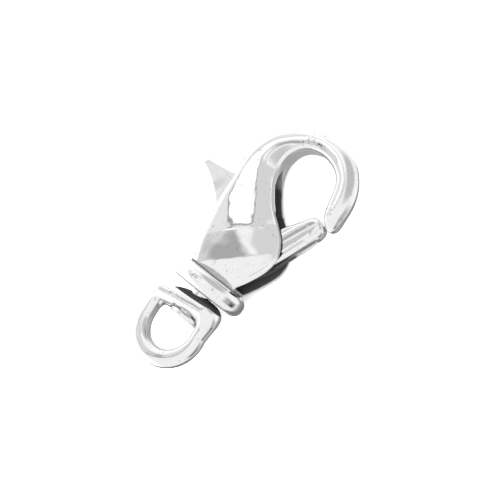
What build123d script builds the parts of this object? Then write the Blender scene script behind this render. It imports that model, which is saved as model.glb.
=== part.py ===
from build123d import *
from math import acos, atan2, cos, degrees, dist, hypot, radians, sin
import os

# A cast swivel lobster clasp, in millimetres. It is drawn with the swivel axis along X, the ring at -X and
# the hook at +X, the thumb tab towards +Y and the gate towards -Y, and Z across the cheeks. At the end it
# is laid on the ground.

# Claw: cross sections from the collar round to the nose. Each runs from its edge on the gate side or in
# the opening (x, y) to its edge on the back (x, y), with half its thickness and the radius of its corners
# at each edge.
CLAW_SECTIONS = [
    # gate edge, back edge, half thickness, gate radius, back radius
    ((0.40, -2.00), (0.40, 2.35), 1.72, 0.30, 1.10),
    ((2.10, -3.05), (2.10, 2.92), 1.73, 0.30, 1.10),
    ((4.20, -3.90), (4.20, 3.55), 1.54, 0.30, 1.10),
    ((5.75, -3.45), (5.60, 3.82), 1.36, 0.30, 1.00),
    ((6.80, -2.30), (6.60, 3.95), 1.26, 0.35, 0.95),
    ((7.75, -0.92), (7.50, 4.05), 1.17, 0.50, 0.90),
    ((8.75, 0.05), (8.40, 4.15), 1.11, 0.60, 0.85),
    ((9.80, 0.80), (9.50, 4.28), 1.05, 0.70, 0.80),
    ((11.10, 1.15), (11.30, 4.05), 1.00, 0.75, 0.78),
    ((12.30, 0.75), (13.10, 2.95), 0.99, 0.75, 0.75),
    ((13.04, -0.60), (14.78, -0.30), 0.98, 0.75, 0.75),
    ((12.95, -2.10), (14.68, -2.30), 0.98, 0.75, 0.75),
    ((12.25, -3.28), (13.30, -4.60), 0.98, 0.70, 0.70),
    ((10.90, -3.90), (11.15, -5.65), 0.98, 0.70, 0.70),
    ((9.75, -4.36), (9.80, -5.78), 0.86, 0.60, 0.60),
    ((9.05, -4.95), (9.10, -5.72), 0.45, 0.30, 0.30),
    ((8.87, -5.20), (8.88, -5.62), 0.18, 0.15, 0.15),
]

# Collar at the root of the claw
COLLAR_R = 3.15
COLLAR_FROM = -0.68
COLLAR_TO = 0.85
COLLAR_ROUND = 0.55

# Slot between the cheeks: open on the gate side, and through the back where the thumb tab comes out
CHEEK_SLOT_HALF = 0.88
CHEEK_SLOT = [(1.15, -7.0), (1.15, 1.25), (2.55, 1.95), (2.55, 6.0), (8.14, 6.0), (8.14, 3.9), (7.0, 1.0),
              (6.9, -0.4), (8.2, -1.6), (8.2, -7.0)]
# Narrower slot that runs on up the inside of the hook (x, y): its floor
HOOK_SLOT_HALF = 0.60
HOOK_SLOT_FLOOR = [(6.6, 0.6), (8.3, 1.65), (9.7, 1.85), (10.75, 1.25)]
HOOK_SLOT_MOUTH = [(10.75, -1.0), (7.0, -1.4)]

# Lever, seen from the side (x, y)
LEVER_HALF = 0.78
LEVER_ROUND = 0.20
PIVOT = (4.4, -1.3)
GATE_TIP = (8.28, -4.24)
GATE_TIP_R = 0.92
GATE_TOP = (6.70, -2.10)
GATE_RIM = [(1.60, -1.55), (2.30, -2.27), (3.53, -3.17), (5.13, -3.92), (6.90, -4.65)]
GATE_RIM_END = -110
LEVER_FRONT = [(6.25, -0.9), (6.5, 1.0), (7.45, 3.0), (8.02, 4.1)]
TAB_FRONT = (7.72, 5.2)
TAB_POINT = (7.74, 6.72)
TAB_END = (7.30, 6.88)
TAB_BACK = [(6.84, 5.84), (6.15, 4.68), (5.44, 3.80)]
LEVER_BACK = [(4.5, 2.4), (3.2, 0.7), (1.85, -0.30)]
HEEL_END = (1.38, -0.85)
TAB_HALF = 0.58
TAB_FROM_Y = 3.5
# The gate arm is folded, and its two rims leave an open seam along the outside
SEAM_HALF = 0.13
SEAM_FLOOR = [(2.30, -1.25), (7.60, -3.95)]
SEAM_MOUTH = [(7.90, -7.0), (0.90, -7.0)]

# Pivot pin, a running fit in the lever and tight in blind sockets in the cheeks
PIN_R = 0.50
PIN_PLAY = 0.05
SOCKET_PLAY = 0.02
PIN_HALF = 1.24
SOCKET_HALF = 1.27

# Swivel rivet: its post goes through the ring's bar, and its head is inside the ring
POST_R = 0.80
POST_ROOT = 0.25
POST_PLAY = 0.08
HEAD_R = 1.28
HEAD_TOP = -2.62
HEAD_THICK = 0.45
HEAD_ROUND = 0.15
SEAT_PLAY = 0.10

# Ring: a D with a thicker bar across its top, which leans on the rivet and sits a little to one side
RING_BEND_R = 3.06
RING_BEND_FROM = 82
RING_LONG = 6.33
RING_SHOULDER = (-1.60, 3.22)
RING_CORNER = (-0.38, 2.75)
RING_CROWN = (-0.12, 1.90)
RING_WIRE_HALF = 0.68
RING_WIRE_ROUND = 0.50
RING_BAR = 1.60
RING_BAR_HALF = 1.42
RING_BAR_LONG = 5.95
RING_BAR_ROUND = 0.55
RING_END_ROUND = 1.05
HOLE_HALF = 1.87
HOLE_END = 4.84
RING_LEAN = 7.5
RING_TOP = -1.05
RING_ASIDE = 0.75

# Length of the blocks and bars that only cut, longer than anything that they pass through
CUTTER = 8.0

# How it lies: on the round of its collar and the crown of its hook, so the ring end is pitched up
REST_PITCH = 8.98
REST_ROLL = -1.6


def blunt_section(gate, back, half, gate_r, back_r):
    """One cross section of the claw: a rectangle across the claw with two radii."""
    wide = dist(gate, back) / 2
    across = (back[0] - gate[0], back[1] - gate[1], 0)
    middle = ((gate[0] + back[0]) / 2, (gate[1] + back[1]) / 2, 0)
    plane = Plane(origin=middle, x_dir=across, z_dir=(across[1], -across[0], 0))
    edges = [
        Line((gate_r - wide, -half), (wide - back_r, -half)),
        CenterArc((wide - back_r, back_r - half), back_r, -90, 90),
        Line((wide, back_r - half), (wide, half - back_r)),
        CenterArc((wide - back_r, half - back_r), back_r, 0, 90),
        Line((wide - back_r, half), (gate_r - wide, half)),
        CenterArc((gate_r - wide, half - gate_r), gate_r, 90, 90),
        Line((-wide, half - gate_r), (-wide, gate_r - half)),
        CenterArc((gate_r - wide, gate_r - half), gate_r, 180, 90),
    ]
    return plane * make_face(edges)


def slab(face, half):
    """A face in the middle plane, thickened to both sides."""
    return extrude(Pos(0, 0, -half) * face, 2 * half)


def along_x(radius, start, end):
    """A round bar on the swivel axis from one x to another."""
    return Pos((start + end) / 2, 0, 0) * Rot(0, 90, 0) * Cylinder(radius, end - start)


def claw_body():
    blades = loft([blunt_section(*row) for row in CLAW_SECTIONS])
    collar = along_x(COLLAR_R, COLLAR_FROM, COLLAR_TO)
    collar = fillet(collar.edges().filter_by(GeomType.CIRCLE), COLLAR_ROUND)
    cheek_slot = slab(make_face(Polyline(*CHEEK_SLOT, close=True)), CHEEK_SLOT_HALF)
    floor = Spline(*HOOK_SLOT_FLOOR)
    opening = Polyline(HOOK_SLOT_FLOOR[-1], *HOOK_SLOT_MOUTH, HOOK_SLOT_FLOOR[0])
    hook_slot = slab(make_face([floor, opening]), HOOK_SLOT_HALF)
    socket = Pos(*PIVOT, 0) * Cylinder(PIN_R + SOCKET_PLAY, 2 * SOCKET_HALF)
    post_hole = along_x(POST_R + SOCKET_PLAY, COLLAR_FROM - 1, POST_ROOT + SOCKET_PLAY)
    return blades + collar - cheek_slot - hook_slot - socket - post_hole


def on_tip(angle):
    """A point on the round end of the gate."""
    return (GATE_TIP[0] + GATE_TIP_R * cos(radians(angle)), GATE_TIP[1] + GATE_TIP_R * sin(radians(angle)))


def lever_outline():
    """The lever from the side: gate arm, hub and thumb tab in one line."""
    to_top = (GATE_TOP[0] - GATE_TIP[0], GATE_TOP[1] - GATE_TIP[1])
    touch = degrees(atan2(to_top[1], to_top[0]) - acos(GATE_TIP_R / hypot(*to_top)))
    along_rim = (-sin(radians(GATE_RIM_END)), cos(radians(GATE_RIM_END)))
    tail = [TAB_BACK[-1], *LEVER_BACK, HEEL_END, *GATE_RIM, on_tip(GATE_RIM_END)]
    heading = (TAB_BACK[-1][0] - TAB_BACK[-2][0], TAB_BACK[-1][1] - TAB_BACK[-2][1])
    return make_face([
        Spline(*tail, tangents=[heading, along_rim]),
        ThreePointArc(on_tip(GATE_RIM_END), on_tip(-25), on_tip(touch)),
        Line(on_tip(touch), GATE_TOP),
        Spline(GATE_TOP, *LEVER_FRONT),
        Spline(LEVER_FRONT[-1], TAB_FRONT, TAB_POINT),
        Line(TAB_POINT, TAB_END),
        Spline(TAB_END, *TAB_BACK),
    ])


def lever():
    blank = slab(lever_outline(), LEVER_HALF)
    rims = [e for e in blank.edges() if abs(abs(e.center().Z) - LEVER_HALF) < 0.001]
    blank = fillet(rims, LEVER_ROUND)
    beside = TAB_HALF + LEVER_HALF
    for side in (-beside, beside):
        above = Pos(TAB_POINT[0], TAB_FROM_Y + CUTTER / 2, side)
        blank -= above * Box(CUTTER, CUTTER, 2 * LEVER_HALF)
    seam = make_face(Polyline(*SEAM_FLOOR, *SEAM_MOUTH, close=True))
    blank -= slab(seam, SEAM_HALF)
    return blank - Pos(*PIVOT, 0) * Cylinder(PIN_R + PIN_PLAY, CUTTER)


def pivot_pin():
    return Pos(*PIVOT, 0) * Cylinder(PIN_R, 2 * PIN_HALF)


def swivel_rivet():
    post = along_x(POST_R, HEAD_TOP, POST_ROOT)
    head = along_x(HEAD_R, HEAD_TOP - HEAD_THICK, HEAD_TOP)
    head = fillet(head.edges().group_by(Axis.X)[0], HEAD_ROUND)
    return post + head


def in_ring(part):
    """Place something drawn in the ring's own frame, with its top at the origin and its end at -X."""
    return Pos(RING_TOP, RING_ASIDE, 0) * Rot(0, 0, RING_LEAN) * part


def mirrored(point):
    return (point[0], -point[1])


def ring_outline():
    bend_at = RING_LONG - RING_BEND_R
    sweep = radians(RING_BEND_FROM)
    join = (RING_BEND_R * cos(sweep) - bend_at, RING_BEND_R * sin(sweep))
    half = [RING_CROWN, RING_CORNER, RING_SHOULDER]
    return make_face([
        ThreePointArc(mirrored(RING_CROWN), (0, 0), RING_CROWN),
        Spline(*half),
        Line(RING_SHOULDER, join),
        ThreePointArc(join, (-RING_LONG, 0), mirrored(join)),
        Line(mirrored(join), mirrored(RING_SHOULDER)),
        Spline(*[mirrored(p) for p in half[::-1]]),
    ])


def ring_hole():
    bend_at = HOLE_END - HOLE_HALF
    return make_face([
        Line((-RING_BAR, -HOLE_HALF), (-RING_BAR, HOLE_HALF)),
        Line((-RING_BAR, HOLE_HALF), (-bend_at, HOLE_HALF)),
        ThreePointArc((-bend_at, HOLE_HALF), (-HOLE_END, 0), (-bend_at, -HOLE_HALF)),
        Line((-bend_at, -HOLE_HALF), (-RING_BAR, -HOLE_HALF)),
    ])


def swivel_ring():
    wire = slab(ring_outline(), RING_WIRE_HALF) - slab(ring_hole(), RING_BAR_HALF)
    rims = [e for e in wire.edges() if abs(abs(e.center().Z) - RING_WIRE_HALF) < 0.001]
    wire = fillet(rims, RING_WIRE_ROUND)
    side_on = Plane(origin=(-RING_BAR / 2, -CUTTER / 2, 0), x_dir=(1, 0, 0), z_dir=(0, 1, 0))
    end_on = Plane(origin=(-CUTTER / 2, 0, 0), x_dir=(0, 1, 0), z_dir=(1, 0, 0))
    bar = slab(ring_outline(), RING_BAR_HALF)
    bar &= extrude(side_on * RectangleRounded(RING_BAR, 2 * RING_BAR_HALF, RING_BAR_ROUND), CUTTER)
    bar &= extrude(end_on * RectangleRounded(RING_BAR_LONG, 2 * RING_BAR_HALF, RING_END_ROUND), CUTTER)
    bore = along_x(POST_R + POST_PLAY, -CUTTER / 2, CUTTER / 2)
    seat = along_x(HEAD_R + SEAT_PLAY, -CUTTER / 2, HEAD_TOP + SEAT_PLAY)
    return in_ring(wire + bar) - bore - seat


def laid_down(parts):
    """Turn the clasp as it comes to rest, and set it on the ground over the origin."""
    turned = {name: Rot(0, REST_PITCH, 0) * Rot(REST_ROLL, 0, 0) * part for name, part in parts.items()}
    box = Compound(list(turned.values())).bounding_box()
    place = Pos(-box.center().X, -box.center().Y, -box.min.Z)
    return {name: place * part for name, part in turned.items()}


PARTS = {
    "claw_body": claw_body,
    "lever": lever,
    "pivot_pin": pivot_pin,
    "swivel_rivet": swivel_rivet,
    "swivel_ring": swivel_ring,
}

if __name__ == "__main__":
    os.makedirs("parts", exist_ok=True)
    clasp = laid_down({name: make() for name, make in PARTS.items()})
    for name, part in clasp.items():
        export_step(part, f"parts/{name}.step")
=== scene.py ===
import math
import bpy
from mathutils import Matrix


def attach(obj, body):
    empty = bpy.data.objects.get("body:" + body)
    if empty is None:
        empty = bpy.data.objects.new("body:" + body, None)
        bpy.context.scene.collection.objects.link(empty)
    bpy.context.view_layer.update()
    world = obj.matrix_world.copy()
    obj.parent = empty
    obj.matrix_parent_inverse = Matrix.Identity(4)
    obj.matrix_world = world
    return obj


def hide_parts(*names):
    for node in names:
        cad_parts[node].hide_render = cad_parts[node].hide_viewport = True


bl_info = {
    "name": "Swivel lobster clasp",
    "version": (1, 0, 0),
    "blender": (4, 2, 0),
    "location": "3D View > Sidebar > Clasp",
    "description": "Builds a cast silver swivel lobster clasp, piece by piece, on a white table",
    "category": "Add Mesh",
}

import bpy
import numpy as np
from mathutils import Matrix, Vector

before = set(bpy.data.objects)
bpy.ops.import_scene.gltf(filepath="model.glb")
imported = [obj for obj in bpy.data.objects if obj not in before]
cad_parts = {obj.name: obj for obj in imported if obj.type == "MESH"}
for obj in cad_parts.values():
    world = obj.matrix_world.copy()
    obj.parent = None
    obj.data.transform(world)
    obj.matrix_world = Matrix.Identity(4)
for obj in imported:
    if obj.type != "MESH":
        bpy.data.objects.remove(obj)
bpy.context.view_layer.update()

MM = 0.001

# The clasp is shaped in its own frame, in millimetres: the swivel axis along X, the ring at -X and the hook
# at +X, the thumb tab towards +Y and the gate towards -Y, and Z across the cheeks. AT_REST lays it down.
AT_REST = (
    Matrix.Translation((-3.716451, -0.553802, 3.164959))
    @ Matrix.Rotation(math.radians(8.98), 4, "Y")
    @ Matrix.Rotation(math.radians(-1.6), 4, "X")
)

# Claw: its edge along the back from the collar round to the nose, then back along the inside of the hook
# and down the gate side: x, y and the radius that the edge is rounded by.
CLAW_EDGE = [
    (-0.20, 2.20, 1.10), (0.40, 2.35, 1.10), (2.10, 2.92, 1.10), (4.00, 3.52, 1.10), (5.60, 3.82, 1.00),
    (6.60, 3.95, 0.95), (7.50, 4.05, 0.90), (8.40, 4.17, 0.85), (9.50, 4.28, 0.80), (10.50, 4.24, 0.78),
    (11.30, 4.05, 0.78), (12.30, 3.60, 0.76), (13.10, 2.95, 0.75), (14.10, 1.65, 0.76), (14.77, -0.30, 0.78),
    (14.67, -2.30, 0.82), (14.19, -3.50, 0.84), (13.30, -4.58, 0.88), (12.30, -5.25, 0.90),
    (11.15, -5.62, 0.90), (9.80, -5.74, 0.76), (9.10, -5.68, 0.45), (8.80, -5.40, 0.28), (9.05, -4.95, 0.34),
    (9.75, -4.36, 0.50), (10.90, -3.90, 0.52), (12.25, -3.28, 0.50), (12.95, -2.10, 0.46),
    (13.04, -0.60, 0.42), (12.30, 0.75, 0.34), (11.10, 1.15, 0.30), (9.80, 0.80, 0.28), (8.75, 0.05, 0.26),
    (7.75, -0.92, 0.25), (7.25, -1.65, 0.25), (6.80, -2.30, 0.25), (6.30, -2.98, 0.26), (5.60, -3.56, 0.28),
    (4.95, -3.85, 0.28), (4.20, -3.90, 0.28), (3.20, -3.60, 0.28), (2.10, -3.05, 0.28), (1.20, -2.50, 0.28),
    (0.40, -2.00, 0.28), (-0.20, -1.70, 0.28),
]
CLAW_HALF = [(-1.0, 1.74), (0.4, 1.73), (2.1, 1.70), (3.4, 1.58), (4.4, 1.46), (5.3, 1.36), (6.3, 1.28),
             (7.3, 1.21), (8.3, 1.14), (9.3, 1.075), (10.3, 1.025), (11.3, 0.985), (12.3, 0.95), (13.3, 0.91),
             (15.5, 0.84)]
NOSE_TIP = (8.80, -5.40)
COLLAR = (3.15, -0.68, 0.85, 0.70)
CHEEK_SLOT = [(1.15, -7.0), (1.15, 1.25), (2.55, 1.95), (2.55, 6.0), (8.14, 6.0), (8.14, 3.9), (7.0, 1.0),
              (6.9, -0.4), (8.2, -1.6), (8.2, -7.0)]
CHEEK_SLOT_HALF = 0.88
# How fast the crowned faces fall away, where the nose starts to thin, and the crease across the lower cheek:
# where it meets the swivel axis, and the way across it
CROWN_STEEPEST = 0.105
NOSE_THINS = 1.6
CREASE_AT = 5.2
ACROSS_CREASE = (0.742, 0.670)
# Groove between the collar and the cheeks: how far off the collar, half its width and its depth
GROOVE_OFF = 0.03
GROOVE_HALF = 0.035
GROOVE_DEEP = 0.12
# Slot that runs on up the inside of the hook and comes to a point: x where it starts, narrows and ends
HOOK_SLOT_START = 6.6
HOOK_SLOT_NARROWS = 9.0
HOOK_SLOT_END = 10.75
HOOK_SLOT_HALF = 0.70
HOOK_SLOT_DEEP = 0.95
# Casting pits, and dark marks on the surface: x, y, z and radius
CLAW_PITS = [
    (5.5, -3.0, 1.42, 0.08), (4.55, -2.95, 1.5, 0.05), (4.7, 2.1, 1.6, 0.05), (3.4, -0.6, 1.68, 0.06),
    (2.5, -2.1, 1.68, 0.05), (2.9, -1.3, 1.7, 0.05), (1.5, -0.9, 1.72, 0.10), (13.2, 0.5, 0.95, 0.09),
    (13.7, -0.9, 1.03, 0.10), (10.05, -5.70, 0.36, 0.14), (0.1, -1.9, 2.55, 0.07), (13.6, -3.2, 1.02, 0.05),
]
CLAW_MARKS = [
    (13.05, 0.75, 0.93, 0.13), (13.28, 0.38, 0.93, 0.10), (13.5, 0.0, 0.93, 0.12), (13.62, -0.45, 0.92, 0.16),
    (13.05, 3.05, 0.25, 0.10), (13.22, 2.90, 0.05, 0.15), (13.42, 2.66, 0.30, 0.12), (13.85, 2.0, 0.35, 0.08),
    (13.12, 2.98, -0.2, 0.12), (13.66, -0.70, 0.92, 0.14), (13.70, -0.95, 0.91, 0.10),
    (13.4, 0.15, 0.93, 0.10), (13.36, 2.5, 0.42, 0.12), (13.2, 2.65, 0.45, 0.10), (13.55, 2.25, 0.42, 0.09),
    (12.6, 3.2, 0.35, 0.08), (1.25, -0.6, 1.72, 0.14), (1.15, -1.0, 1.70, 0.12), (9.35, -4.75, 0.55, 0.10),
]
LEVER_PITS = [(8.05, -4.42, 0.74, 0.10), (7.85, -4.52, 0.74, 0.09), (8.2, -4.05, 0.78, 0.05)]
RING_PITS = [(-3.35, -1.50, 0.62, 0.16), (-3.2, 2.6, 0.72, 0.06), (-3.9, -0.9, 0.68, 0.06)]
# Patches that the polishing has missed: their middle, reach and height
CLAW_ROUGH = [((13.3, 2.85, 0.0), 0.38, 0.010), ((13.4, 0.2, 0.95), 0.42, 0.007),
              ((10.2, -4.9, 0.9), 0.60, 0.004)]
RING_ROUGH = [((-2.0, 3.1, 0.8), 0.55, 0.008), ((-2.2, 1.2, 1.2), 0.5, 0.004)]
# Waves that polishing by hand leaves: how long, how high, and where they start
CLAW_WAVES = [(2.4, 0.006, 0.4), (0.35, 0.0011, 1.4)]
COLLAR_WAVES = [(1.3, 0.012, 1.1), (0.5, 0.002, 0.3)]
LEVER_WAVES = [(1.1, 0.004, 2.0), (0.3, 0.0006, 0.4)]
TAB_WAVES = (0.75, 0.018, 1.2)
RING_WAVES = [(1.1, 0.014, 0.7), (0.4, 0.002, 2.7)]
RIVET_WAVES = [(0.9, 0.01, 0.2)]

# Crest of the crowned cheek and hook, from the collar round to the nose: x, y and how round it is
CREST = [
    (2.6, -5.4, 17), (3.5, -3.6, 17), (4.2, -2.2, 17), (5.2, 0.0, 19), (6.3, 1.12, 21), (7.8, 2.25, 20),
    (9.1, 2.85, 13), (10.5, 2.95, 8), (11.8, 2.5, 5.5), (13.05, 1.25, 4.6), (13.8, -0.4, 4.2),
    (13.75, -2.25, 4.2), (12.8, -3.95, 4.2), (11.0, -4.78, 4.2), (9.5, -5.1, 3.5),
]
# Lever: its edge from the heel along the rim to the round end of the gate, up to the thumb tab and back
LEVER_RIM = [(1.38, -0.85), (1.60, -1.55), (2.30, -2.27), (3.53, -3.17), (5.13, -3.92), (6.90, -4.65),
             (7.97, -5.10)]
GATE_TIP = (8.28, -4.24)
GATE_TIP_R = 0.92
LEVER_FRONT = [(6.70, -2.10), (6.25, -0.9), (6.5, 1.0), (7.45, 3.0), (8.02, 4.1)]
LEVER_TAB = [(8.02, 4.1), (7.86, 5.3), (7.70, 6.72), (7.30, 6.88), (6.84, 5.84), (6.15, 4.68), (5.44, 3.80)]
LEVER_BACK = [(5.44, 3.80), (4.5, 2.4), (3.2, 0.7), (1.85, -0.30), (1.38, -0.85)]
SEAM_FLOOR = [(2.30, -1.25), (7.60, -3.95), (7.95, -7.0), (0.90, -7.0)]
SEAM_HALF = 0.26
SEAM_OPENS = 0.12
LEVER_HALF = 0.78
# Bore for the pivot pin: x, y and radius
LEVER_BORE = (4.4, -1.3, 0.55)
# Slope of the gate arm in degrees, how far its crest is from the middle, and how wide the band by its rim is
ARM_SLOPE = -26
ARM_CREST = 0.45
RIM_BAND = 0.42
# Thumb tab: where it leaves the cheeks, the way out along it, how much thinner it is and how it thins on
TAB_ROOT = (8.0, 4.0)
ALONG_TAB = (0.56, 0.83)
TAB_THINNER = 0.20
TAB_TILT = 0.06

# Ring, in its own frame: its top at the origin and its bend towards -X
RING_LEAN = 7.5
RING_TOP = -1.05
RING_ASIDE = 0.75
RING_TOP_EDGE = [(-1.60, -3.22), (-0.62, -2.98), (-0.24, -2.35), (-0.08, -1.5), (-0.02, -0.5), (-0.10, 0.4),
                 (-0.32, 1.2), (-0.66, 1.95), (-1.08, 2.55), (-1.75, 3.0)]
RING_LONG = 6.31
RING_BEND_R = 3.06
WIRE_HALF = 0.70
WIRE_ROUND = 0.60
RING_BAR = 1.60
BAR_LONG = 2.80
BAR_HALF = 1.22
BAR_ROUND = 0.76
HOLE_HALF = 1.87
HOLE_END = 4.84
# Nub at the ring's bend: its place along, across and up, and its radius
NUB = (-5.95, 0.95, 0.2, 0.32)

# What is turned about the swivel axis: radius, middle and half the length
CLAW_BORE = (0.82, -1.2, 1.47)
RING_BORE = (0.88, -2.0, 2.5)
RING_POCKET = (1.38, -3.52, 1.0)
RIVET_POST = (0.80, -1.20, 1.44)
RIVET_HEAD = (1.28, -2.845, 0.225)

# How far each casting reaches at most
CLAW_REACH = ((-1.0, -6.1, -3.4), (15.1, 4.6, 3.4))
LEVER_REACH = ((1.0, -5.5, -1.1), (9.6, 7.2, 1.1))
RING_REACH = ((-7.8, -3.2, -1.7), (-0.6, 4.3, 1.7))
RIVET_REACH = ((-3.4, -1.5, -1.5), (0.6, 1.5, 1.5))
# The lever and ring have smaller faces than the claw, and the rivet smaller ones yet
FINER = 0.8
FINEST = 0.7


# shapes as distances, in millimetres


def smooth_line(points, step=0.02):
    """Points close together along a smooth curve that passes through the given ones, in any dimension."""
    points = np.array(points, float)
    n = len(points)
    chord = np.r_[0, np.cumsum(np.hypot(*np.diff(points[:, :2], axis=0).T))]
    gap = np.diff(chord)
    matrix = np.eye(n)
    right = np.zeros(points.shape)
    for i in range(1, n - 1):
        matrix[i, i - 1:i + 2] = gap[i - 1], 2 * (gap[i - 1] + gap[i]), gap[i]
        slope_after = (points[i + 1] - points[i]) / gap[i]
        slope_before = (points[i] - points[i - 1]) / gap[i - 1]
        right[i] = 6 * (slope_after - slope_before)
    bend = np.linalg.solve(matrix, right)
    at = np.linspace(0, chord[-1], max(2, int(chord[-1] / step)))
    k = np.clip(np.searchsorted(chord, at, side="right") - 1, 0, n - 2)
    h = gap[k][:, None]
    a = (chord[k + 1] - at)[:, None] / h
    b = 1 - a
    return (a * points[k] + b * points[k + 1]
            + ((a ** 3 - a) * bend[k] + (b ** 3 - b) * bend[k + 1]) * h ** 2 / 6)


def arc(centre, radius, start, end, step=0.02):
    """Points along an arc, from one angle to another in degrees."""
    count = max(2, int(abs(math.radians(end - start)) * radius / step))
    angle = np.radians(np.linspace(start, end, count))
    return np.c_[centre[0] + radius * np.cos(angle), centre[1] + radius * np.sin(angle)]


def straight(a, b, step=0.02):
    """Points close together from one place to another."""
    a, b = np.array(a, float), np.array(b, float)
    count = max(2, int(np.hypot(*(b - a)[:2]) / step))
    t = np.linspace(0, 1, count)[:, None]
    return a * (1 - t) + b * t


def blended(knots, x):
    """A smooth curve through (x, value) knots."""
    line = smooth_line(knots, 0.01)
    return np.interp(x, line[:, 0], line[:, 1])


class Plan:
    """Values on a fine grid over the clasp's plan, read smoothly between the grid's points."""

    def __init__(self, values, low, step):
        self.values, self.low, self.step = values, low, step

    def __call__(self, x, y):
        x, y = np.broadcast_arrays(x, y)
        rows, columns = self.values.shape
        u = np.clip((x - self.low[0]) / self.step, 1, rows - 2.01)
        v = np.clip((y - self.low[1]) / self.step, 1, columns - 2.01)
        i, j = np.floor(u).astype(int), np.floor(v).astype(int)
        total = 0.0
        along, across = weights(u - i), weights(v - j)
        for a in range(4):
            for b in range(4):
                total = total + along[a] * across[b] * self.values[i - 1 + a, j - 1 + b]
        return total


def weights(t):
    """How much each of four neighbours counts, part of the way between the middle two."""
    t2, t3 = t * t, t * t * t
    return (-t3 / 2 + t2 - t / 2, 1.5 * t3 - 2.5 * t2 + 1, -1.5 * t3 + 2 * t2 + t / 2, t3 / 2 - t2 / 2)


def inside_outline(outline, x, y):
    """Whether each point of a grid lies inside a closed outline."""
    inside = np.zeros(x.shape, bool)
    after = np.roll(outline, -1, axis=0)
    for (ax, ay), (bx, by) in zip(outline[:, :2], after[:, :2]):
        if ay == by:
            continue
        crosses = (ay > y) != (by > y)
        inside ^= crosses & (x < (bx - ax) * (y - ay) / (by - ay) + ax)
    return inside


def nearest(points, line, closed=True):
    """How far each point is from a line of close points, and which of them it is nearest to."""
    side = np.roll(line, -1, axis=0) - line
    if not closed:
        side[-1] = 0
    length = np.maximum((side ** 2).sum(1), 1e-12)
    best = np.full(len(points), 1e9)
    which = np.zeros(len(points), int)
    for start in range(0, len(points), 2000):
        here = slice(start, start + 2000)
        some = points[here]
        near = ((some[:, None, :] - line[None, ::6, :]) ** 2).sum(2).argmin(1) * 6
        for shift in range(-7, 8):
            k = (near + shift) % len(line) if closed else np.clip(near + shift, 0, len(line) - 1)
            t = np.clip(((some - line[k]) * side[k]).sum(1) / length[k], 0, 1)
            gap = ((some - line[k] - side[k] * t[:, None]) ** 2).sum(1)
            better = gap < best[here]
            best[here] = np.where(better, gap, best[here])
            which[here] = np.where(better, k, which[here])
    return np.sqrt(best), which


def plan_of(outline, margin=1.0, step=0.06):
    """The signed distance to a closed outline, and any further column of the outline at the nearest point."""
    outline = np.array(outline, float)
    a = outline[:, :2]
    low = a.min(0) - margin
    high = a.max(0) + margin
    gx, gy = np.meshgrid(np.arange(low[0], high[0], step), np.arange(low[1], high[1], step), indexing="ij")
    gap, which = nearest(np.c_[gx.ravel(), gy.ravel()], a)
    gap = gap.reshape(gx.shape)
    sign = np.where(inside_outline(a[::3], gx, gy), -1.0, 1.0)
    close = gap < 0.1
    sign[close] = np.where(inside_outline(a, gx[close], gy[close]), -1.0, 1.0)
    plans = [Plan(sign * gap, low, step)]
    for column in outline.T[2:]:
        plans.append(Plan(column[which].reshape(gx.shape), low, step))
    return plans


def gap_to(line, low, high, step=0.06):
    """The distance to an open line, over the plan, and any further column of the line there."""
    gx, gy = np.meshgrid(np.arange(low[0], high[0], step), np.arange(low[1], high[1], step), indexing="ij")
    gap, which = nearest(np.c_[gx.ravel(), gy.ravel()], line[:, :2], False)
    plans = [Plan(gap.reshape(gx.shape), low, step)]
    for column in line.T[2:]:
        plans.append(Plan(column[which].reshape(gx.shape), low, step))
    return plans


def closed_by_lines(points):
    """Points close together round a polygon."""
    return np.concatenate([straight(a, b) for a, b in zip(points, points[1:] + points[:1])])


def both(a, b, radius):
    """The overlap of two shapes, its edge rounded."""
    u, v = np.maximum(a + radius, 0), np.maximum(b + radius, 0)
    return np.minimum(-radius, np.maximum(a, b)) + np.sqrt(u * u + v * v)


def either(a, b, soft):
    """Two shapes together, with a soft fillet where they meet."""
    h = np.clip(0.5 + 0.5 * (b - a) / soft, 0, 1)
    return b * (1 - h) + a * h - soft * h * (1 - h)


def without(a, b, soft):
    """The first shape less the second, with soft lips."""
    return -either(-a, b, soft)


def ease(low, high, value):
    """Nothing at one value, all of it at another, and a smooth change between them."""
    t = np.clip((value - low) / (high - low), 0, 1)
    return t * t * (3 - 2 * t)


def rounded_block(x, y, z, half, radius):
    """A block about the origin with rounded edges, from half its sides."""
    dx, dy, dz = (np.abs(v) - h + radius for v, h in zip((x, y, z), half))
    outer = np.sqrt(np.maximum(dx, 0) ** 2 + np.maximum(dy, 0) ** 2 + np.maximum(dz, 0) ** 2)
    return outer + np.minimum(np.maximum(np.maximum(dx, dy), dz), 0) - radius


def turned(size, round_off, x, y, z):
    """A round bar on the swivel axis."""
    radius, middle, half = size
    return both(np.sqrt(y * y + z * z) - radius, np.abs(x - middle) - half, round_off)


def ripple(x, y, z, size, height, phase):
    """The faint unevenness of a hand-polished casting."""
    u, v, w = x / size + phase, y / size - phase, z / size + 2 * phase
    waves = np.sin(1.7 * u + 1.1 * v) + np.sin(2.3 * v - 0.9 * w + 1.3) + np.sin(1.9 * w + 1.5 * u + 2.1)
    return height * waves / 3


def waved(shape, waves, x, y, z):
    """A shape with each of its waves."""
    for size, height, phase in waves:
        shape = shape + ripple(x, y, z, size, height, phase)
    return shape


# from distances to a mesh


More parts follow.
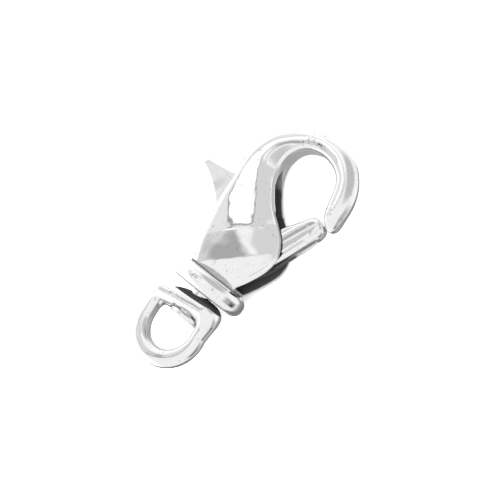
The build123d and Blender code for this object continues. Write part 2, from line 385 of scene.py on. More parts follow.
def skin(field, low, high, cell):
    """The surface where a field is zero, as points and four-sided faces."""
    xs, ys, zs = (np.arange(a, b + cell, cell) for a, b in zip(low, high))
    values = field(xs[:, None, None], ys[None, :, None], zs[None, None, :])
    values = np.broadcast_to(values, (len(xs), len(ys), len(zs)))
    inside = values < 0
    count = sum(inside[i:i + len(xs) - 1, j:j + len(ys) - 1, k:k + len(zs) - 1].astype(np.int8)
                for i in (0, 1) for j in (0, 1) for k in (0, 1))
    cells = np.argwhere((count > 0) & (count < 8))
    number = np.full(count.shape, -1)
    number[tuple(cells.T)] = np.arange(len(cells))
    total = np.zeros((len(cells), 3))
    crossings = np.zeros(len(cells))
    for axis in range(3):
        others = [a for a in range(3) if a != axis]
        for p in (0, 1):
            for q in (0, 1):
                start = np.zeros(3, int)
                start[others[0]], start[others[1]] = p, q
                end = start.copy()
                end[axis] = 1
                fa = values[tuple((cells + start).T)]
                fb = values[tuple((cells + end).T)]
                cut = (fa < 0) != (fb < 0)
                t = np.where(cut, fa / np.where(cut, fa - fb, 1), 0)
                place = np.tile(start.astype(float), (len(cells), 1))
                place[:, axis] = t
                total += place * cut[:, None]
                crossings += cut
    points = (cells + total / crossings[:, None]) * cell + np.array([xs[0], ys[0], zs[0]])
    faces = []
    for axis in range(3):
        b, c = (axis + 1) % 3, (axis + 2) % 3
        here = [slice(None)] * 3
        there = [slice(None)] * 3
        here[axis], there[axis] = slice(None, -1), slice(1, None)
        for a in (b, c):
            here[a] = there[a] = slice(1, -1)
        first, second = inside[tuple(here)], inside[tuple(there)]
        for leaving in (True, False):
            edges = np.argwhere((first != second) & (first == leaving))
            step_b, step_c = np.eye(3, dtype=int)[b], np.eye(3, dtype=int)[c]
            at = edges + step_b + step_c
            ring = [at - step_b - step_c, at - step_c, at, at - step_b]
            if not leaving:
                ring = ring[::-1]
            faces.append(np.stack([number[tuple(r.T)] for r in ring], 1))
    return points, np.concatenate(faces)


def slope(field, p, reach=0.01):
    """The field and its gradient at points."""
    x, y, z = p.T
    out = np.empty(p.shape)
    out[:, 0] = field(x + reach, y, z) - field(x - reach, y, z)
    out[:, 1] = field(x, y + reach, z) - field(x, y - reach, z)
    out[:, 2] = field(x, y, z + reach) - field(x, y, z - reach)
    return field(x, y, z), out / (2 * reach)


def settle(field, p, cell):
    """Move points onto the surface."""
    value, way = slope(field, p)
    move = value / np.maximum((way ** 2).sum(1), 0.05)
    return p - np.clip(move, -cell / 2, cell / 2)[:, None] * way


def evened(field, p, faces, cell, rounds=3):
    """Spread the points evenly over the surface."""
    ends = np.concatenate([faces[:, [i, (i + 1) % 4]] for i in range(4)])
    count = np.bincount(ends[:, 0], minlength=len(p)) + np.bincount(ends[:, 1], minlength=len(p))
    p = settle(field, p, cell)
    for _ in range(rounds):
        middle = np.stack([np.bincount(ends[:, 0], p[ends[:, 1], k], len(p))
                           + np.bincount(ends[:, 1], p[ends[:, 0], k], len(p)) for k in range(3)], 1)
        p = settle(field, p + 0.6 * (middle / count[:, None] - p), cell)
    return settle(field, p, cell)


def cast(name, field, low, high, cell, shade_and_marks=None):
    """A mesh object from a field, laid down as the clasp rests."""
    points, faces = skin(field, low, high, cell)
    points = evened(field, points, faces, cell)
    _, way = slope(field, points, 0.02)
    way /= np.maximum(np.linalg.norm(way, axis=1), 1e-9)[:, None]
    turn = np.array(AT_REST.to_3x3())
    placed = (points @ turn.T + np.array(AT_REST.translation)) * MM
    mesh = bpy.data.meshes.new(name)
    mesh.vertices.add(len(placed))
    mesh.vertices.foreach_set("co", placed.astype(np.float32).ravel())
    mesh.loops.add(faces.size)
    mesh.loops.foreach_set("vertex_index", faces.astype(np.int32).ravel())
    mesh.polygons.add(len(faces))
    mesh.polygons.foreach_set("loop_start", np.arange(0, faces.size, 4, dtype=np.int32))
    mesh.polygons.foreach_set("use_smooth", np.ones(len(faces), bool))
    mesh.update(calc_edges=True)
    mesh.validate()
    mesh.normals_split_custom_set_from_vertices([Vector(v) for v in way @ turn.T])
    # the painted shade of the hollows, with the dark marks, kept on the points
    if shade_and_marks is not None:
        depth = mesh.attributes.new("shade_and_marks", "FLOAT", "POINT")
        depth.data.foreach_set("value", shade_and_marks(*points.T).astype(np.float32))
    made = bpy.data.objects.new(name, mesh)
    bpy.context.scene.collection.objects.link(made)
    print("piece", name, "faces", len(faces) * 2)
    return made


# the pieces as fields


def crown(aside, radius, steepest):
    """How far a gently crowned face falls away to either side of its crest: round, then straight."""
    aside = np.abs(aside)
    turn = steepest * radius
    return np.where(aside < turn, aside ** 2 / (2 * radius), steepest * (aside - turn / 2))


def pitted(shape, pits, x, y, z):
    """Small casting pits: x, y, z and radius of each."""
    for px, py, pz, radius in pits:
        gap = np.sqrt((x - px) ** 2 + (y - py) ** 2 + (z - pz) ** 2) - radius
        shape = without(shape, gap, 0.03)
    return shape


def rough_patch(x, y, z, middle, reach, height):
    """A patch that the polishing has missed."""
    gap = ((x - middle[0]) ** 2 + (y - middle[1]) ** 2 + (z - middle[2]) ** 2) / reach ** 2
    lumps = np.sin(17 * x + 9 * y) * np.sin(15 * y - 11 * z + 1)
    lumps = lumps + np.sin(23 * z + 19 * x + 2) * np.sin(13 * y + 4)
    return height * np.exp(-gap) * lumps


def roughened(shape, patches, x, y, z):
    """A shape with each of its rough patches."""
    for middle, reach, height in patches:
        shape = shape + rough_patch(x, y, z, middle, reach, height)
    return shape


def cheek_fall():
    """How far the lower cheek falls away, by distance below the white part of the shank."""
    below = np.linspace(-1, 12, 1301)
    steep = 0.085 * ease(-0.03, 0.10, below) + 0.035 * ease(2.15, 2.5, below)
    fall = np.r_[0, np.cumsum((steep[1:] + steep[:-1]) / 2 * np.diff(below))]
    return below, fall


def claw_plan():
    """The claw from the side, and the rounding of its edge."""
    edge = smooth_line(CLAW_EDGE)
    closing = straight(edge[-1], edge[0])
    return edge, *plan_of(np.r_[edge, closing[1:-1]])


def spots(places, x, y, z):
    """Dark spots, painted shade in the pits and dark marks on the surface: x, y, z and radius of each."""
    dark = 0.0
    for px, py, pz, radius in places:
        gap = np.sqrt((x - px) ** 2 + (y - py) ** 2 + (z - pz) ** 2)
        dark = np.maximum(dark, ease(1.25, 0.75, gap / radius))
    return dark


def claw_field():
    """The claw, and where it is dark."""
    edge, blade, rounding = claw_plan()
    nose = np.hypot(edge[:, 0] - NOSE_TIP[0], edge[:, 1] - NOSE_TIP[1]).argmin()
    low, high = (-1.4, -7.0), (15.9, 5.4)
    from_back, from_gate = (gap_to(part[:, :2], low, high)[0] for part in (edge[:nose + 1], edge[nose:]))
    from_crest, crest_round = gap_to(smooth_line(CREST), low, high)
    slot, = plan_of(closed_by_lines(CHEEK_SLOT), 2.0)
    below, fall = cheek_fall()
    radius, start, end, round_off = COLLAR

    def channel(x, y, z):
        """The room between the cheeks, and the slot that runs on from it inside the hook."""
        wide = both(slot(x, y), np.abs(z) - CHEEK_SLOT_HALF, 0.22)
        half = HOOK_SLOT_HALF * (1 - ease(HOOK_SLOT_NARROWS, HOOK_SLOT_END, x))
        deep = HOOK_SLOT_DEEP * (1 - ease(HOOK_SLOT_NARROWS, HOOK_SLOT_END, x) ** 2)
        floor = both(from_gate(x, y) - deep, np.abs(z) - half, 0.12)
        ends = np.maximum(np.maximum(HOOK_SLOT_START - x, x - HOOK_SLOT_END), -1.9 - y)
        return either(wide, np.maximum(floor, ends), 0.15)

    def face(x, y):
        """Half the thickness, less the crown of the near and far faces."""
        half = blended(CLAW_HALF, x)
        reach = np.clip(np.hypot(x - NOSE_TIP[0], y - NOSE_TIP[1]) / NOSE_THINS, 0, 1)
        half = np.where((y < -3) & (x < 11.5), half * np.sqrt(1 - (1 - reach) ** 2 + 1e-6), half)
        drop = crown(from_crest(x, y), crest_round(x, y), CROWN_STEEPEST)
        down = (CREASE_AT - x) * ACROSS_CREASE[0] - y * ACROSS_CREASE[1]
        return half - drop - np.interp(down, below, fall) * ease(7.8, 6.8, x)

    def field(x, y, z):
        shape = both(blade(x, y), np.abs(z) - face(x, y), rounding(x, y))
        shape = roughened(waved(shape, CLAW_WAVES, x, y, z), CLAW_ROUGH, x, y, z)
        groove = np.maximum(np.abs(x - end - GROOVE_OFF) - GROOVE_HALF, -GROOVE_DEEP - shape)
        shape = without(shape, groove, 0.04)
        rim = turned((radius, (start + end) / 2, (end - start) / 2), round_off, x, y, z)
        shape = without(shape, channel(x, y, z), 0.12)
        shape = either(shape, waved(rim, COLLAR_WAVES, x, y, z), 0.05)
        shape = pitted(shape, CLAW_PITS, x, y, z)
        return without(shape, turned(CLAW_BORE, 0.02, x, y, z), 0.04)

    def shade_and_marks(x, y, z):
        """Painted shade in the channel, inside the hook, in the groove, on the collar's ring side and in the
        pits, and dark marks on the surface.
        """
        # painted shade: darker on the channel's walls, along the inside of the hook, in the groove and on the
        # collar's ring side
        gate = from_gate(x, y)
        on_wall = ease(0.16, 0.05, np.abs(channel(x, y, z)))
        deep = ease(0.0, 0.10, np.minimum(gate, from_back(x, y))) * (1 - 0.35 * ease(8.9, 9.8, x))
        inside = ease(0.22, 0.04, gate) * ease(-0.10, -0.24, np.abs(z) - face(x, y)) * ease(-4.6, -3.6, y)
        inside = inside * (0.05 + 0.50 * ease(8.5, 10.5, x)) * ease(6.2, 7.0, x)
        groove = ease(0.07, 0.03, np.abs(x - end - GROOVE_OFF)) * ease(3.2, 2.7, np.sqrt(y * y + z * z))
        root = ease(-0.55, -0.66, x)
        # painted shade in the pits, and the dark marks on the surface
        marks = spots(CLAW_PITS + CLAW_MARKS, x, y, z)
        return np.maximum.reduce([on_wall * deep, inside, groove * 0.6, root, marks])

    return field, shade_and_marks


def lever_field():
    """The lever, and where it is dark."""
    _, blade, _ = claw_plan()
    round_end = arc(GATE_TIP, GATE_TIP_R, -110, 56.7)
    outline = np.concatenate([
        smooth_line(LEVER_RIM), round_end, straight(round_end[-1], LEVER_FRONT[0]), smooth_line(LEVER_FRONT),
        smooth_line(LEVER_TAB[:3]), straight(LEVER_TAB[2], LEVER_TAB[3]), smooth_line(LEVER_TAB[3:]),
        smooth_line(LEVER_BACK),
    ])
    edge, = plan_of(outline)
    seam, = plan_of(closed_by_lines(SEAM_FLOOR), 2.0)
    arm = math.radians(ARM_SLOPE)

    def fold(x, y, z):
        """The open seam along the outside of the arm, wider towards its heel."""
        return both(seam(x, y), np.abs(z) - SEAM_HALF - SEAM_OPENS * ease(6.2, 3.8, x), 0.05)

    def field(x, y, z):
        aside = (GATE_TIP[1] - y) * math.cos(arm) + (x - GATE_TIP[0]) * math.sin(arm)
        inward = edge(x, y)
        arm_drop = crown(aside + ARM_CREST, 7.0, 0.20)
        crease = np.exp(-((inward + RIM_BAND) / 0.085) ** 2) * ease(0.1, 0.35, aside) * ease(3.6, 4.6, x)
        arm_drop = arm_drop + crease * (0.025 + 0.10 * ease(7.2, 7.9, x))
        tab_drop = TAB_TILT * ((TAB_ROOT[0] - x) * ALONG_TAB[0] + (y - TAB_ROOT[1]) * ALONG_TAB[1])
        on_tab = ease(2.9, 3.7, y)
        thinner = on_tab * (TAB_THINNER + np.maximum(tab_drop, 0))
        half = LEVER_HALF - arm_drop * (1 - on_tab) * ease(3.0, 5.5, x) - thinner
        rounding = 0.22 - 0.15 * on_tab + 0.24 * ease(6.8, 8.2, x) * (1 - on_tab)
        shape = waved(both(inward, np.abs(z) - half, rounding), LEVER_WAVES, x, y, z)
        shape = shape + ripple(x, y, z, *TAB_WAVES) * ease(3.9, 4.8, y)
        shape = without(shape, fold(x, y, z), 0.14)
        shape = pitted(shape, LEVER_PITS, x, y, z)
        bore = np.hypot(x - LEVER_BORE[0], y - LEVER_BORE[1]) - LEVER_BORE[2]
        return without(shape, bore, 0.04)

    def shade_and_marks(x, y, z):
        """Painted shade in the seam, between the cheeks, under the far lip and in the pits."""
        # painted shade: darker in the seam, between the cheeks and under the far lip
        in_fold = ease(0.1, 0.03, np.abs(fold(x, y, z))) * ease(-0.02, 0.2, -edge(x, y))
        in_fold = in_fold * (1 - 0.4 * ease(5.2, 6.6, x))
        near_lip = ease(0.34, 0.44, z) * ease(-1.6, -2.2, y)
        in_fold = in_fold * (1 - 0.9 * near_lip)
        between = ease(-0.05, -0.6, blade(x, y)) * ease(3.9, 3.3, y) * (1 - 0.8 * near_lip)
        far_lip = ease(0.15, 0.0, z) * ease(0.3, 0.1, -edge(x, y)) * ease(6.6, 5.8, x) * ease(-1.2, -1.6, y)
        return np.maximum.reduce([in_fold, between, far_lip, spots(LEVER_PITS, x, y, z)])

    return field, shade_and_marks


def to_ring(x, y, z):
    """Places given in the ring's own frame."""
    lean = math.radians(RING_LEAN)
    x, y = x - RING_TOP, y - RING_ASIDE
    return x * math.cos(lean) + y * math.sin(lean), y * math.cos(lean) - x * math.sin(lean), z


def ring_field():
    """The swivel ring, and where it is dark."""
    bend_at = RING_LONG - RING_BEND_R
    bend = arc((-bend_at, 0), RING_BEND_R, 82, 278)
    crest = smooth_line(RING_TOP_EDGE)
    outline = np.concatenate([crest, straight(crest[-1], bend[0]), bend, straight(bend[-1], crest[0])])
    edge, = plan_of(outline)
    hole_at = HOLE_END - HOLE_HALF
    inner = arc((-hole_at, 0), HOLE_HALF, 90, 270)
    hole, = plan_of(np.concatenate([straight((-RING_BAR, HOLE_HALF), inner[0]), inner,
                                    straight(inner[-1], (-RING_BAR, -HOLE_HALF)),
                                    straight((-RING_BAR, -HOLE_HALF), (-RING_BAR, HOLE_HALF))]), 2.5)

    def field(x, y, z):
        u, v, w = to_ring(x, y, z)
        outer, inner = edge(u, v), -hole(u, v)
        flat = both(outer, inner, 0.05)
        wire = both(flat, np.abs(w) - WIRE_HALF, WIRE_ROUND)
        bar = rounded_block(u + RING_BAR / 2, v, w, (RING_BAR / 2, BAR_LONG, BAR_HALF), BAR_ROUND)
        shape = either(wire, both(bar, outer, 0.2), 0.8)
        shape = roughened(waved(shape, RING_WAVES, x, y, z), RING_ROUGH, x, y, z)
        nub = np.sqrt((u - NUB[0]) ** 2 + (v - NUB[1]) ** 2 + (w - NUB[2]) ** 2) - NUB[3]
        shape = either(shape, nub, 0.25)
        shape = pitted(shape, RING_PITS, x, y, z)
        shape = without(shape, turned(RING_BORE, 0.02, x, y, z), 0.06)
        return without(shape, turned(RING_POCKET, 0.02, x, y, z), 0.06)

    def shade_and_marks(x, y, z):
        """Painted shade on the side that faces the collar, a little inside the eye, and in the pits."""
        u, v, w = to_ring(x, y, z)
        # painted shade: darker against the collar and round the eye
        top = ease(-0.16, -0.05, u) * ease(0.7, 0.0, v)
        bore = ease(0.14, 0.05, np.abs(hole(u, v))) * ease(0.66, 0.45, np.abs(w)) * ease(-1.9, -2.3, u) * 0.45
        return np.maximum.reduce([top, bore, spots(RING_PITS, x, y, z)])

    return field, shade_and_marks


def rivet_field(x, y, z):
    """The rivet's post and its head in the ring's pocket."""
    post = turned(RIVET_POST, 0.04, x, y, z)
    head = turned(RIVET_HEAD, 0.16, x, y, z)
    return waved(either(post, head, 0.05), RIVET_WAVES, x, y, z)


# silver

# Scales of the wear, the specks and the grain of the polish, the height of that grain in metres, and how dull
# the silver is in the painted shade and the dark marks
WEAR_SCALE = 900
SPECK_SCALE = 5200
GRAIN_SCALE = 2600
GRAIN_HEIGHT = 0.00002
SHADE_AND_MARK_ROUGHNESS = 0.8


def link(tree, source, target):
    """Join one socket to another."""
    tree.links.new(source, target)


def ranged(tree, source, low, high, first, last):
    """A value spread from one range over another."""
    spread = tree.nodes.new("ShaderNodeMapRange")
    for name, value in zip(("From Min", "From Max", "To Min", "To Max"), (low, high, first, last)):
        spread.inputs[name].default_value = value
    link(tree, source, spread.inputs["Value"])
    return spread.outputs["Result"]


def noise(tree, place, scale, detail):
    """Noise that stays fixed to the piece."""
    made = tree.nodes.new("ShaderNodeTexNoise")
    made.inputs["Scale"].default_value = scale
    made.inputs["Detail"].default_value = detail
    link(tree, place, made.inputs["Vector"])
    return made.outputs["Fac"]


def worked_out(tree, operation, first, second):
    """Two values put together by a Math node."""
    made = tree.nodes.new("ShaderNodeMath")
    made.operation = operation
    link(tree, first, made.inputs[0])
    link(tree, second, made.inputs[1])
    return made.outputs[0]


def silver(name, colour, roughness, dark):
    """Polished cast silver, with painted shade in its hollows, and dark marks and specks of dirt."""
    material = bpy.data.materials.new(name)
    material.use_nodes = True
    tree = material.node_tree
    nodes = tree.nodes
    shader = nodes["Principled BSDF"]
    shader.inputs["Metallic"].default_value = 1.0
    place = nodes.new("ShaderNodeTexCoord").outputs["Object"]
    wear = noise(tree, place, WEAR_SCALE, 4)
    rough = ranged(tree, wear, 0.5, 0.75, roughness, roughness * 3)
    # painted shade: where the hollows are shaded, and on the dark marks, the silver turns dark, dull and
    # stops mirroring
    attribute = nodes.new("ShaderNodeAttribute")
    attribute.attribute_name = "shade_and_marks"
    shade_and_marks = attribute.outputs["Fac"]
    dulled = nodes.new("ShaderNodeMix")
    dulled.data_type = "FLOAT"
    link(tree, shade_and_marks, dulled.inputs[0])
    link(tree, rough, dulled.inputs[2])
    dulled.inputs[3].default_value = SHADE_AND_MARK_ROUGHNESS
    link(tree, dulled.outputs[0], shader.inputs["Roughness"])
    link(tree, ranged(tree, shade_and_marks, 0.4, 0.95, 1, 0), shader.inputs["Metallic"])
    fine = ranged(tree, noise(tree, place, SPECK_SCALE, 2), 0.64, 0.72, 0, 0.5)
    specks = worked_out(tree, "MULTIPLY", fine, ranged(tree, wear, 0.50, 0.58, 0.1, 1))
    # the painted shade with the dark marks, and the specks of dirt, darken the colour
    shade_and_specks = worked_out(tree, "MAXIMUM", shade_and_marks, specks)
    tint = nodes.new("ShaderNodeMix")
    tint.data_type = "RGBA"
    tint.inputs["A"].default_value = (*colour, 1)
    tint.inputs["B"].default_value = (*dark, 1)
    link(tree, shade_and_specks, tint.inputs["Factor"])
    link(tree, tint.outputs["Result"], shader.inputs["Base Color"])
    bump = nodes.new("ShaderNodeBump")
    bump.inputs["Strength"].default_value = 0.02
    bump.inputs["Distance"].default_value = GRAIN_HEIGHT
    link(tree, noise(tree, place, GRAIN_SCALE, 3), bump.inputs["Height"])
    link(tree, bump.outputs["Normal"], shader.inputs["Normal"])
    return material


def dressed(made, material, body, node):
    """Give a piece its material and its body, and hide the solid it stands for."""
    made.data.materials.append(material)
    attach(made, body)
    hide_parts(node)


# settings


class ClaspFinish(bpy.types.PropertyGroup):
    silver_colour: bpy.props.FloatVectorProperty(
        name="Silver", description="Colour of the polished silver", default=(0.93, 0.93, 0.932),
        subtype="COLOR", min=0, max=1)
    # The colour of the painted shade in the hollows, of the dark marks and of the specks of dirt
    shade_and_dirt_colour: bpy.props.FloatVectorProperty(
        name="Shade and dirt", description="Colour of the silver deep in the channel", default=(0.022, 0.022, 0.022),
        subtype="COLOR", min=0, max=1)
    roughness: bpy.props.FloatProperty(
        name="Roughness", description="How dull the polish is", default=0.025, min=0, max=1, subtype="FACTOR")
    cell: bpy.props.FloatProperty(
        name="Cell", description="Size of the faces the castings are made of, in millimetres", default=0.085,
        min=0.03, max=1)


class TableLook(bpy.types.PropertyGroup):
    view_width: bpy.props.FloatProperty(
        name="View width", description="Width of what the camera sees", default=0.03775, unit="LENGTH")
    camera_distance: bpy.props.FloatProperty(
        name="Camera distance", description="How far off the camera stands", default=0.5, unit="LENGTH")
    table_colour: bpy.props.FloatVectorProperty(
        name="Table", description="Colour of the table", default=(0.9, 0.9, 0.9), subtype="COLOR", min=0,
        max=1)


# one operator for each piece


def look():
    """The finish that the user has set."""
    return bpy.context.scene.clasp_finish


def make_silver(slot):
    """The silver of a slot, made once."""
    name = "cast_" + slot
    finish = look()
    made = bpy.data.materials.get(name)
    return made or silver(name, tuple(finish.silver_colour), finish.roughness, tuple(finish.shade_and_dirt_colour))


class CLASP_OT_claw(bpy.types.Operator):
    """Cast the claw with its collar, cheeks, channel and hook"""
    bl_idname = "clasp.claw"
    bl_label = "Claw"

    def execute(self, context):
        field, shade_and_marks = claw_field()
        made = cast("claw", field, *CLAW_REACH, look().cell, shade_and_marks)
        dressed(made, make_silver("claw_silver"), "claw", "claw_body")
        return {"FINISHED"}


class CLASP_OT_lever(bpy.types.Operator):
    """Cast the lever with its gate arm and thumb tab"""
    bl_idname = "clasp.lever"
    bl_label = "Lever"

    def execute(self, context):
        field, shade_and_marks = lever_field()
        made = cast("gate_lever", field, *LEVER_REACH, look().cell * FINER, shade_and_marks)
        dressed(made, make_silver("lever_silver"), "lever", "lever")
        return {"FINISHED"}


class CLASP_OT_ring(bpy.types.Operator):
    """Cast the swivel ring"""
    bl_idname = "clasp.ring"
    bl_label = "Swivel ring"

    def execute(self, context):
        field, shade_and_marks = ring_field()
        made = cast("ring", field, *RING_REACH, look().cell * FINER, shade_and_marks)
        dressed(made, make_silver("ring_silver"), "ring", "swivel_ring")
        return {"FINISHED"}


class CLASP_OT_rivet(bpy.types.Operator):
    """Make the swivel rivet, and give the pivot pin its silver"""
    bl_idname = "clasp.rivet"
    bl_label = "Rivet and pin"

    def execute(self, context):
        made = cast("rivet", rivet_field, *RIVET_REACH, look().cell * FINEST)
        dressed(made, make_silver("ring_silver"), "claw", "swivel_rivet")
        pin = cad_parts["pivot_pin"]
        pin.data.materials.clear()
        pin.data.materials.append(make_silver("claw_silver"))
        return {"FINISHED"}


# the stage

# Tones of the cards in the studio, where 1 is plain white
PAPER_WHITE = 1.08
PANEL_WHITE = 1.15
# Half the table's side, and the lamp: its width and place in metres, and its power in watts
TABLE_HALF = 2.0
LAMP_WIDTH = 2.4
LAMP_PLACE = (0, 0.1, 0.8)
LAMP_POWER = 60
# How far the camera is tilted from straight over the near cheek and the clasp is turned in the picture, in
# degrees, what stands in the middle of the picture, in the clasp's frame, and the camera's sensor in mm
CAMERA_TILT = 30
CAMERA_SLANT = 52
PICTURE_MIDDLE = (4.15, -0.66, -0.381)
SENSOR_WIDTH = 36


def unit(v):
    """A direction of length one."""
    v = np.array(v, float)
    return v / np.linalg.norm(v)


# The way that the flat of the near cheek mirrors, and two ways across it: to the gate side, and up the shank
MIRRORED = unit((0, 0.5, 0.866))
TO_GATE = unit((0.52, -0.745, 0.43))
UP_SHANK = np.cross(MIRRORED, TO_GATE)


def seen(aside, up):
    """A direction given by its angles in degrees from the one that the near cheek mirrors."""
    return unit(MIRRORED + math.tan(math.radians(aside)) * TO_GATE + math.tan(math.radians(up)) * UP_SHANK)


class Studio:
    """The soft studio round the clasp, painted card by card into the world."""

    def __init__(self, level):
        world = bpy.data.worlds.new("studio")
        bpy.context.scene.world = world
        world.use_nodes = True
        self.tree = world.node_tree
        self.place = self.tree.nodes.new("ShaderNodeTexCoord")
        self.turn = np.array(AT_REST.to_3x3())
        first = self.tree.nodes.new("ShaderNodeValue")
        first.outputs[0].default_value = level
        self.tone = first.outputs[0]

    def facing(self, way, low, high):
        """Nothing where the direction's part along a way is under low, all of it over high."""
        dot = self.tree.nodes.new("ShaderNodeVectorMath")
        dot.operation = "DOT_PRODUCT"
        dot.inputs[1].default_value = self.turn @ unit(way)
        link(self.tree, self.place.outputs["Generated"], dot.inputs[0])
        fade = self.tree.nodes.new("ShaderNodeMapRange")
        fade.interpolation_type = "SMOOTHSTEP"
        fade.inputs["From Min"].default_value = low
        fade.inputs["From Max"].default_value = high
        link(self.tree, dot.outputs["Value"], fade.inputs["Value"])
        return fade.outputs["Result"]

    def paint(self, share, level):
        """Cover what is painted so far with a tone, as far as the share says."""
        mix = self.tree.nodes.new("ShaderNodeMix")
        mix.data_type = "FLOAT"
        link(self.tree, share, mix.inputs[0])
        link(self.tree, self.tone, mix.inputs[2])
        mix.inputs[3].default_value = level
        self.tone = mix.outputs[0]

    def disc(self, way, inner, outer, level):
        """A round card, full inside one angle and faded out at another."""
        self.paint(self.facing(way, math.cos(math.radians(outer)), math.cos(math.radians(inner))), level)

    def card(self, corners, soft, level):
        """A flat card with straight sides, its corners given as directions, counter-clockwise from inside."""
        middle = sum(corners)
        share = None
        for a, b in zip(corners, corners[1:] + corners[:1]):
            side = unit(np.cross(a, b))
            if side @ middle < 0:
                side = -side
            blur = math.sin(math.radians(soft))
            part = self.facing(side, -blur, blur)
            share = part if share is None else worked_out(self.tree, "MINIMUM", share, part)
        self.paint(share, level)

    def lit(self, strength):
        """Light the scene with what is painted."""
        background = self.tree.nodes["Background"]
        background.inputs["Strength"].default_value = strength
        link(self.tree, self.tone, background.inputs["Color"])


def world_light():
    """White walls, a grey ceiling with a white panel in it, and a dark floor edge under the front."""
    studio = Studio(0.93)
    # grey under the far cheek, grey past the hook, and white low in front of it
    studio.disc((0, 0.05, -1), 25, 50, 0.30)
    studio.disc((0.8, -0.35, 0.45), 24, 42, 0.55)
    studio.disc((0.6, -0.5, -0.6), 12, 24, 1.0)
    # the edge of the floor on the gate side, grey with a dark middle, which the rims and the fold mirror
    grey_edge = [(-0.5, -1, 0.0), (0.3, -1, 0.0), (0.3, -1, -0.95), (-0.45, -1, -0.95)]
    studio.card([unit(v) for v in grey_edge], 9, 0.45)
    floor_edge = [(-0.4, -1, -0.40), (0.03, -1, -0.40), (0.03, -1, -0.80), (-0.4, -1, -0.80)]
    studio.card([unit(v) for v in floor_edge], 7, 0.07)
    # the grey ceiling over the near cheek
    studio.disc((0.0, 0.42, 0.91), 24, 34, 0.70)
    # white on the thumb side, towards the ring and towards the hook, and dark low under the channel
    studio.disc((-0.55, 0.82, -0.2), 56, 61, PAPER_WHITE)
    studio.disc((0.5, 0.8, -0.3), 44, 52, PAPER_WHITE)
    studio.disc((-0.22, 0.12, -0.97), 26, 34, 0.22)
    # white gaps in the ceiling, over the gate and over the hook
    studio.disc((0.0, -0.12, 0.99), 6, 12, 1.0)
    studio.disc((0.45, 0.35, 0.80), 8, 13, 1.05)
    # white along the back of the cheek and over the crown of the hook, with a light grey spot
    studio.card([seen(-7.5, 0), seen(-7.5, 40), seen(-70, 40), seen(-70, 0)], 1.5, PAPER_WHITE)
    studio.card([seen(-7.5, 10), seen(10, 12), seen(10, 40), seen(-7.5, 40)], 1.0, PAPER_WHITE)
    studio.disc((0.07, 0.62, 0.78), 5, 11, 0.84)
    # the light band across the low end of the cheek, and the dark and grey shades above it
    studio.card([seen(13, 1.5), seen(-9, -14), seen(-12, -30), seen(25, -30), seen(25, -2)], 0.5, 0.94)
    shade = [(3.4, 0.3), (-3.2, -5), (-6.5, -11.5), (-2.4, -9.5), (4.6, -3.2), (5.4, -0.5)]
    studio.card([seen(*way) for way in shade], 0.9, 0.42)
    low_grey = [(2.5, -8.6), (14.5, -0.2), (17, -10), (10, -16), (3, -14)]
    studio.card([seen(*way) for way in low_grey], 1.2, 0.60)
    # the round light under the panel, and the panel itself with its thin dark frame
    studio.card([seen(5.3, 0.0), seen(8.8, -0.3), seen(9.9, 0.9), seen(9.3, 1.7), seen(5.0, 1.5)], 0.9, 0.98)
    frame_edge = [(-2.9, 0.6), (8.1, 3.1), (8.1, 7.9), (3.3, 8.45), (1.2, 8.8), (-1.1, 8.55), (-2.9, 6.4)]
    studio.card([seen(*way) for way in frame_edge], 0.15, 0.28)
    panel = [(-2.5, 1.0), (7.7, 3.4), (7.7, 7.5), (3.2, 8.1), (1.2, 8.4), (-0.9, 8.15), (-2.5, 6.2)]
    studio.card([seen(*way) for way in panel], 0.15, PANEL_WHITE)
    studio.lit(1.0)


def set_table(scene, colour):
    """A plain pale table, which the silver doesn't mirror."""
    mesh = bpy.data.meshes.new("table")
    corners = [(-TABLE_HALF, -TABLE_HALF, 0), (TABLE_HALF, -TABLE_HALF, 0), (TABLE_HALF, TABLE_HALF, 0),
               (-TABLE_HALF, TABLE_HALF, 0)]
    mesh.from_pydata(corners, [], [(0, 1, 2, 3)])
    table = bpy.data.objects.new("table", mesh)
    scene.collection.objects.link(table)
    material = bpy.data.materials.new("table_white")
    material.use_nodes = True
    shader = material.node_tree.nodes["Principled BSDF"]
    shader.inputs["Base Color"].default_value = (*colour, 1)
    shader.inputs["Roughness"].default_value = 0.9
    mesh.materials.append(material)
    table.visible_glossy = False


def hang_lamp(scene):
    """One wide soft lamp over the table."""
    data = bpy.data.lights.new("softbox", "AREA")
    data.shape = "DISK"
    data.size = LAMP_WIDTH
    data.energy = LAMP_POWER
    lamp = bpy.data.objects.new("softbox", data)
    lamp.matrix_world = Matrix.Translation(LAMP_PLACE)
    lamp.visible_glossy = False
    scene.collection.objects.link(lamp)


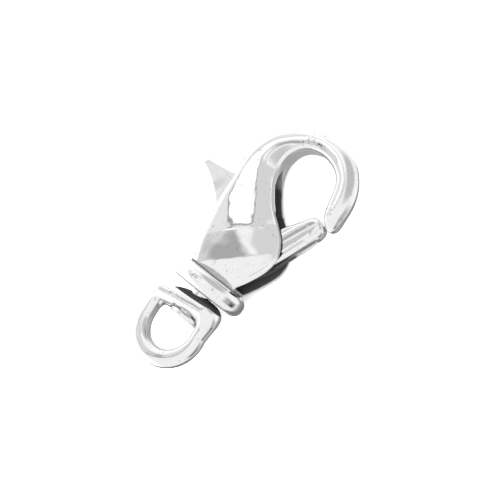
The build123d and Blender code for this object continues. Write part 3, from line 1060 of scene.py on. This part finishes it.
def set_camera(scene, settings):
    """A far camera over the near cheek, tilted towards the gate side."""
    turn = AT_REST.to_3x3()
    tilt, slant = math.radians(CAMERA_TILT), math.radians(CAMERA_SLANT)
    side = Vector((0, math.cos(tilt), math.sin(tilt)))
    along = Vector((1, 0, 0))
    right = turn @ (along * math.cos(slant) - side * math.sin(slant))
    up = turn @ (along * math.sin(slant) + side * math.cos(slant))
    towards = turn @ Vector((0, -math.sin(tilt), math.cos(tilt)))
    middle = AT_REST @ Vector(PICTURE_MIDDLE) * MM
    data = bpy.data.cameras.new("camera")
    data.sensor_width = SENSOR_WIDTH
    data.lens = SENSOR_WIDTH * settings.camera_distance / settings.view_width
    data.clip_start = 0.01
    camera = bpy.data.objects.new("camera", data)
    spin = Matrix((right, up, towards)).transposed().to_4x4()
    camera.matrix_world = Matrix.Translation(middle + towards * settings.camera_distance) @ spin
    scene.collection.objects.link(camera)
    scene.camera = camera


class CLASP_OT_stage(bpy.types.Operator):
    """Set out the table, the light and the camera"""
    bl_idname = "clasp.stage"
    bl_label = "Stage"

    def execute(self, context):
        settings = context.scene.clasp_table
        context.scene.view_settings.view_transform = "Standard"
        set_table(context.scene, settings.table_colour)
        world_light()
        hang_lamp(context.scene)
        set_camera(context.scene, settings)
        return {"FINISHED"}


class CLASP_PT_panel(bpy.types.Panel):
    """The clasp's pieces, finish and table"""
    bl_label = "Swivel lobster clasp"
    bl_idname = "CLASP_PT_panel"
    bl_space_type = "VIEW_3D"
    bl_region_type = "UI"
    bl_category = "Clasp"

    def draw(self, context):
        column = self.layout.column()
        for operator in OPERATORS:
            column.operator(operator.bl_idname)
        for group in (context.scene.clasp_finish, context.scene.clasp_table):
            for name in group.__annotations__:
                column.prop(group, name)


OPERATORS = (CLASP_OT_claw, CLASP_OT_lever, CLASP_OT_ring, CLASP_OT_rivet, CLASP_OT_stage)
CLASSES = (ClaspFinish, TableLook) + OPERATORS + (CLASP_PT_panel,)


def register():
    for each in CLASSES:
        bpy.utils.register_class(each)
    bpy.types.Scene.clasp_finish = bpy.props.PointerProperty(type=ClaspFinish)
    bpy.types.Scene.clasp_table = bpy.props.PointerProperty(type=TableLook)


def unregister():
    del bpy.types.Scene.clasp_table
    del bpy.types.Scene.clasp_finish
    for each in reversed(CLASSES):
        bpy.utils.unregister_class(each)


def main():
    register()
    bpy.ops.clasp.claw()
    bpy.ops.clasp.lever()
    bpy.ops.clasp.ring()
    bpy.ops.clasp.rivet()
    bpy.ops.clasp.stage()


if __name__ == "__main__":
    main()
